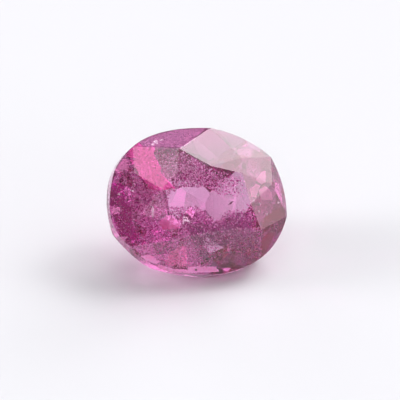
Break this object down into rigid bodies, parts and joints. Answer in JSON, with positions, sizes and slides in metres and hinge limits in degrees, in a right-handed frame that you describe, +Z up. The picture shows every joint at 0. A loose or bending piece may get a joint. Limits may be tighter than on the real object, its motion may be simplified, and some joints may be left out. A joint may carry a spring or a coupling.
{
  "type": "faceted oval rhodolite garnet",
  "caption": "Loose oval faceted gemstone with a table, kites, stars and girdle facets over a deep pavilion, lying tipped on a lower facet.",
  "frame": {"origin": "on the ground, under the middle of the stone as it lies", "axes": "+Z up, +X along the stone's long axis as it lies, -Y towards the side that the table leans to"},
  "size_m": [0.009, 0.0062, 0.0062],
  "materials": {
    "garnet": "clear, polished pinkish purple-red garnet with fine silk inside"
  },
  "bodies": {
    "root": {"garnet": "garnet"}
  },
  "joints": []
}
